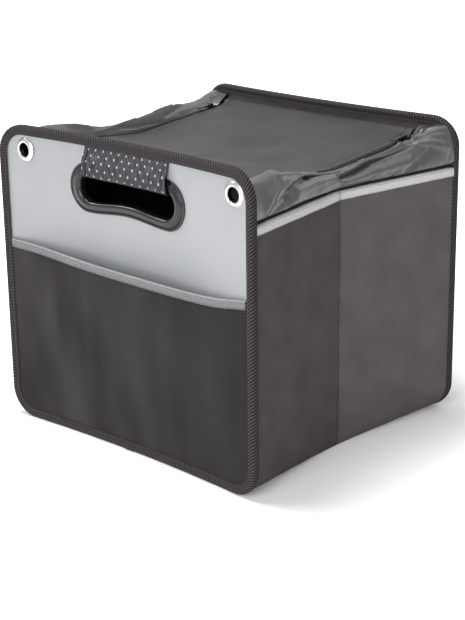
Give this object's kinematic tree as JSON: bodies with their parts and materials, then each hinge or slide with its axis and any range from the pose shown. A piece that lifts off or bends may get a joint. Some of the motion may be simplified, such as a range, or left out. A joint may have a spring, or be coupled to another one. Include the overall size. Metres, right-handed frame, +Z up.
{
  "type": "folding trunk organizer",
  "caption": "Folding cloth storage box for a car boot, with stiff bound end panels, moulded handles, eyelets, end pockets and a zipped lid.",
  "frame": {"origin": "middle of the underside, on the ground", "axes": "+X across the end panels to the right of the front one, +Y from the front panel to the one that the lid is sewn to, +Z up"},
  "size_m": [0.354, 0.3182, 0.32],
  "materials": {
    "frosted_board": "frosted translucent sheet",
    "woven_tape": "ribbed woven tape",
    "moulded_ring": "black satin moulding",
    "dotted_cloth": "heather grey with small pale dots",
    "eyelet": "bright nickel",
    "pocket_cloth": "charcoal cloth",
    "grey_ribbon": "light grey twill",
    "wall_cloth": "fine twill",
    "lining": "dark cloth",
    "inner_board": "plain grey board",
    "nylon": "crinkled thin nylon",
    "zip": "zip tape with coil teeth",
    "runner_metal": "gunmetal",
    "lid_cloth": "smooth satin cloth"
  },
  "bodies": {
    "box": {"front_board": "frosted_board", "front_binding": "woven_tape", "front_handle_ring": "moulded_ring", "front_handle_back_ring": "moulded_ring", "front_handle_wrap": "dotted_cloth", "front_eyelet_left": "eyelet", "front_eyelet_washer_left": "eyelet", "front_eyelet_right": "eyelet", "front_eyelet_washer_right": "eyelet", "front_pocket": "pocket_cloth", "front_pocket_ribbon": "grey_ribbon", "back_board": "frosted_board", "back_binding": "woven_tape", "back_handle_ring": "moulded_ring", "back_handle_back_ring": "moulded_ring", "back_handle_wrap": "dotted_cloth", "back_eyelet_left": "eyelet", "back_eyelet_washer_left": "eyelet", "back_eyelet_right": "eyelet", "back_eyelet_washer_right": "eyelet", "back_pocket": "pocket_cloth", "back_pocket_ribbon": "grey_ribbon", "left_wall_cloth": "wall_cloth", "left_wall_lining": "lining", "left_wall_board_front": "inner_board", "left_wall_board_rear": "inner_board", "left_wall_ribbon": "grey_ribbon", "left_collar": "nylon", "left_zip_collar_side": "zip", "right_wall_cloth": "wall_cloth", "right_wall_lining": "lining", "right_wall_board_front": "inner_board", "right_wall_board_rear": "inner_board", "right_wall_ribbon": "grey_ribbon", "right_collar": "nylon", "right_zip_collar_side": "zip", "lid_hinge_strip": "woven_tape", "base_cloth": "lining", "base_board": "lining"},
    "lid": {"lid": "lid_cloth", "left_zip_lid_side": "zip", "right_zip_lid_side": "zip"},
    "left_slider": {"left_slider": "runner_metal"},
    "right_slider": {"right_slider": "runner_metal"},
    "left_pull": {"left_pull": "runner_metal"},
    "right_pull": {"right_pull": "runner_metal"}
  },
  "joints": [
    {"name": "lid_hinge", "type": "hinge", "parent": "box", "child": "lid", "pos_m": [0, 0.1385, 0.306], "axis": [-1, 0, 0], "range_deg": [0, 90]},
    {"name": "left_zip_slide", "type": "slide", "parent": "lid", "child": "left_slider", "axis": [0, -0.9958, -0.0916], "range_m": [0, 0.108]},
    {"name": "left_pull_hinge", "type": "hinge", "parent": "left_slider", "child": "left_pull", "pos_m": [-0.1369, 0.11613, 0.3027], "axis": [-1, 0, 0], "range_deg": [0, 100]},
    {"name": "right_zip_slide", "type": "slide", "parent": "lid", "child": "right_slider", "axis": [0, -0.9958, -0.0916], "range_m": [0, 0.108]},
    {"name": "right_pull_hinge", "type": "hinge", "parent": "right_slider", "child": "right_pull", "pos_m": [0.1369, 0.11613, 0.3027], "axis": [-1, 0, 0], "range_deg": [0, 100]}
  ]
}
